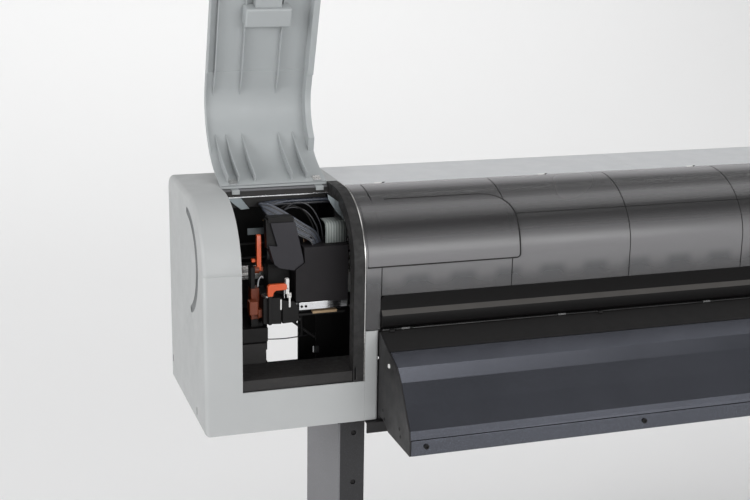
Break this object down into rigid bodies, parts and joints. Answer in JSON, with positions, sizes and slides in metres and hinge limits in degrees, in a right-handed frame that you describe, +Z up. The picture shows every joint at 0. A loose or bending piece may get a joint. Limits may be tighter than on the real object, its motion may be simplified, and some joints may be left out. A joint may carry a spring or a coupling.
{
  "type": "large format plotter",
  "caption": "Floor-standing roll-fed wide plotter: curved casing on a wheeled stand, hinged end door standing open, smoked front cover, moving carriage and paper apron.",
  "frame": {"origin": "on the floor, below the middle of the stand and of the machine's length", "axes": "+X to the right along the machine for a person facing its front, +Y to the rear, +Z up"},
  "size_m": [2.7, 0.885, 1.6727],
  "materials": {
    "light_plastic": "fine moulded texture, light grey",
    "buttons": "satin grey",
    "black_plastic": "fine moulded texture, near black",
    "smoked_plastic": "smoked grey, glossy",
    "apron_paint": "satin charcoal powder coat",
    "stand_paint": "grey powder coat",
    "zinc_steel": "zinc plated",
    "aluminium": "satin anodised",
    "belt_rubber": "matt",
    "wheel_rubber": "matt",
    "orange_plastic": "moulded orange",
    "tube_plastic": "soft blue-grey tube",
    "ribbon": "grey flat cable"
  },
  "bodies": {
    "machine": {"left_housing": "light_plastic", "right_housing": "light_plastic", "top_cover": "light_plastic", "front_lower_panel": "light_plastic", "left_bezel": "black_plastic", "capping_station": "black_plastic", "control_panel": "black_plastic", "carriage_motor": "black_plastic", "apron_panel": "apron_paint", "apron_side_left": "apron_paint", "apron_side_right": "apron_paint", "apron_rail": "apron_paint", "rear_panel": "apron_paint", "base_beam": "apron_paint", "roll_support_left": "apron_paint", "roll_support_right": "apron_paint", "stand_leg_left": "stand_paint", "stand_leg_right": "stand_paint", "stand_foot_left": "stand_paint", "stand_foot_right": "stand_paint", "stand_cross_beam": "stand_paint", "left_side_frame": "zinc_steel", "right_side_frame": "zinc_steel", "top_beam": "aluminium", "guide_rail": "aluminium", "platen": "aluminium", "timing_belt": "belt_rubber", "ink_tubes": "tube_plastic", "flat_cable": "ribbon"},
    "left_door": {"left_access_door": "light_plastic", "door_latch": "light_plastic"},
    "front_cover": {"front_cover": "smoked_plastic", "front_cover_band": "black_plastic"},
    "carriage": {"carriage_base": "aluminium", "carriage_cover": "black_plastic", "print_head": "zinc_steel"},
    "roll_spindle": {"roll_spindle": "aluminium", "roll_flange_left": "black_plastic", "roll_flange_right": "black_plastic"},
    "drive_pulley": {"drive_pulley": "aluminium"},
    "idler_pulley": {"idler_pulley": "aluminium"},
    "grit_roller": {"grit_roller": "zinc_steel"},
    "pinch_rollers": {"pinch_rollers": "black_plastic"},
    "pressure_lever": {"pressure_lever": "black_plastic"},
    "carriage_lock_lever": {"carriage_lock_lever": "orange_plastic"},
    "wiper_lever": {"wiper_lever": "orange_plastic"},
    "power_button": {"power_button": "buttons"},
    "menu_button": {"menu_button": "buttons"},
    "ink_cartridge_black": {"ink_cartridge_black": "black_plastic"},
    "ink_cartridge_cyan": {"ink_cartridge_cyan": "black_plastic"},
    "ink_cartridge_magenta": {"ink_cartridge_magenta": "black_plastic"},
    "ink_cartridge_yellow": {"ink_cartridge_yellow": "black_plastic"},
    "caster_fork_front_left": {"caster_fork_front_left": "zinc_steel"},
    "caster_wheel_front_left": {"caster_wheel_front_left": "wheel_rubber"},
    "caster_fork_front_right": {"caster_fork_front_right": "zinc_steel"},
    "caster_wheel_front_right": {"caster_wheel_front_right": "wheel_rubber"},
    "caster_fork_rear_left": {"caster_fork_rear_left": "zinc_steel"},
    "caster_wheel_rear_left": {"caster_wheel_rear_left": "wheel_rubber"},
    "caster_fork_rear_right": {"caster_fork_rear_right": "zinc_steel"},
    "caster_wheel_rear_right": {"caster_wheel_rear_right": "wheel_rubber"}
  },
  "joints": [
    {"name": "left_door_hinge", "type": "hinge", "parent": "machine", "child": "left_door", "pos_m": [-1.161, -0.01, 1.259], "axis": [1, 0, 0], "range_deg": [0, 161.5]},
    {"name": "front_cover_hinge", "type": "hinge", "parent": "machine", "child": "front_cover", "pos_m": [0, -0.052, 1.259], "axis": [1, 0, 0], "range_deg": [-75, 0]},
    {"name": "carriage_slide", "type": "slide", "parent": "machine", "child": "carriage", "axis": [1, 0, 0], "range_m": [0, 2.04], "deforming": ["ink_tubes", "flat_cable"]},
    {"name": "drive_pulley_spin", "type": "hinge", "parent": "machine", "child": "drive_pulley", "pos_m": [1.29, 0, 1.119], "axis": [0, 1, 0], "range_deg": [0, 7900]},
    {"name": "idler_pulley_spin", "type": "hinge", "parent": "machine", "child": "idler_pulley", "pos_m": [-1.29, 0, 1.119], "axis": [0, 1, 0], "range_deg": [0, 7900]},
    {"name": "grit_roller_spin", "type": "hinge", "parent": "machine", "child": "grit_roller", "pos_m": [0, 0.005, 0.979], "axis": [1, 0, 0], "continuous": true},
    {"name": "pressure_lever_tilt", "type": "hinge", "parent": "machine", "child": "pressure_lever", "pos_m": [0.907, 0.177, 1.131], "axis": [1, 0, 0], "range_deg": [-50, 0]},
    {"name": "pinch_roller_lift", "type": "hinge", "parent": "machine", "child": "pinch_rollers", "pos_m": [0, 0.054, 1.004], "axis": [1, 0, 0], "range_deg": [-6.1, 0]},
    {"name": "carriage_lock_tilt", "type": "hinge", "parent": "machine", "child": "carriage_lock_lever", "pos_m": [-1.215, -0.075, 1.099], "axis": [1, 0, 0], "range_deg": [0, 40]},
    {"name": "wiper_lever_swing", "type": "hinge", "parent": "machine", "child": "wiper_lever", "pos_m": [-1.188, -0.11, 0.979], "axis": [0, 1, 0], "range_deg": [0, 25]},
    {"name": "roll_spindle_spin", "type": "hinge", "parent": "machine", "child": "roll_spindle", "pos_m": [0, 0.225, 0.681], "axis": [1, 0, 0], "continuous": true},
    {"name": "power_button_press", "type": "slide", "parent": "machine", "child": "power_button", "axis": [0, 0.2306, -0.973], "range_m": [0, 0.0015], "stiffness_N_per_m": 400},
    {"name": "menu_button_press", "type": "slide", "parent": "machine", "child": "menu_button", "axis": [0, 0.2306, -0.973], "range_m": [0, 0.0015], "stiffness_N_per_m": 400},
    {"name": "ink_cartridge_black_slide", "type": "slide", "parent": "machine", "child": "ink_cartridge_black", "axis": [0, -1, 0], "range_m": [0, 0.21]},
    {"name": "ink_cartridge_cyan_slide", "type": "slide", "parent": "machine", "child": "ink_cartridge_cyan", "axis": [0, -1, 0], "range_m": [0, 0.21]},
    {"name": "ink_cartridge_magenta_slide", "type": "slide", "parent": "machine", "child": "ink_cartridge_magenta", "axis": [0, -1, 0], "range_m": [0, 0.21]},
    {"name": "ink_cartridge_yellow_slide", "type": "slide", "parent": "machine", "child": "ink_cartridge_yellow", "axis": [0, -1, 0], "range_m": [0, 0.21]},
    {"name": "caster_swivel_front_left", "type": "hinge", "parent": "machine", "child": "caster_fork_front_left", "pos_m": [-1.0165, -0.4, 0.06], "axis": [0, 0, 1], "continuous": true},
    {"name": "caster_wheel_front_left_spin", "type": "hinge", "parent": "caster_fork_front_left", "child": "caster_wheel_front_left", "pos_m": [-1.0165, -0.37, 0.0375], "axis": [1, 0, 0], "continuous": true},
    {"name": "caster_swivel_front_right", "type": "hinge", "parent": "machine", "child": "caster_fork_front_right", "pos_m": [1.0165, -0.4, 0.06], "axis": [0, 0, 1], "continuous": true},
    {"name": "caster_wheel_front_right_spin", "type": "hinge", "parent": "caster_fork_front_right", "child": "caster_wheel_front_right", "pos_m": [1.0165, -0.37, 0.0375], "axis": [1, 0, 0], "continuous": true},
    {"name": "caster_swivel_rear_left", "type": "hinge", "parent": "machine", "child": "caster_fork_rear_left", "pos_m": [-1.0165, 0.4, 0.06], "axis": [0, 0, 1], "continuous": true},
    {"name": "caster_wheel_rear_left_spin", "type": "hinge", "parent": "caster_fork_rear_left", "child": "caster_wheel_rear_left", "pos_m": [-1.0165, 0.37, 0.0375], "axis": [1, 0, 0], "continuous": true},
    {"name": "caster_swivel_rear_right", "type": "hinge", "parent": "machine", "child": "caster_fork_rear_right", "pos_m": [1.0165, 0.4, 0.06], "axis": [0, 0, 1], "continuous": true},
    {"name": "caster_wheel_rear_right_spin", "type": "hinge", "parent": "caster_fork_rear_right", "child": "caster_wheel_rear_right", "pos_m": [1.0165, 0.37, 0.0375], "axis": [1, 0, 0], "continuous": true}
  ],
  "couplings": [
    {"joint": "drive_pulley_spin", "follows": "carriage_slide", "rad_per_m": 67.114},
    {"joint": "idler_pulley_spin", "follows": "carriage_slide", "rad_per_m": 67.114},
    {"joint": "pinch_roller_lift", "follows": "pressure_lever_tilt", "ratio": 0.12}
  ]
}
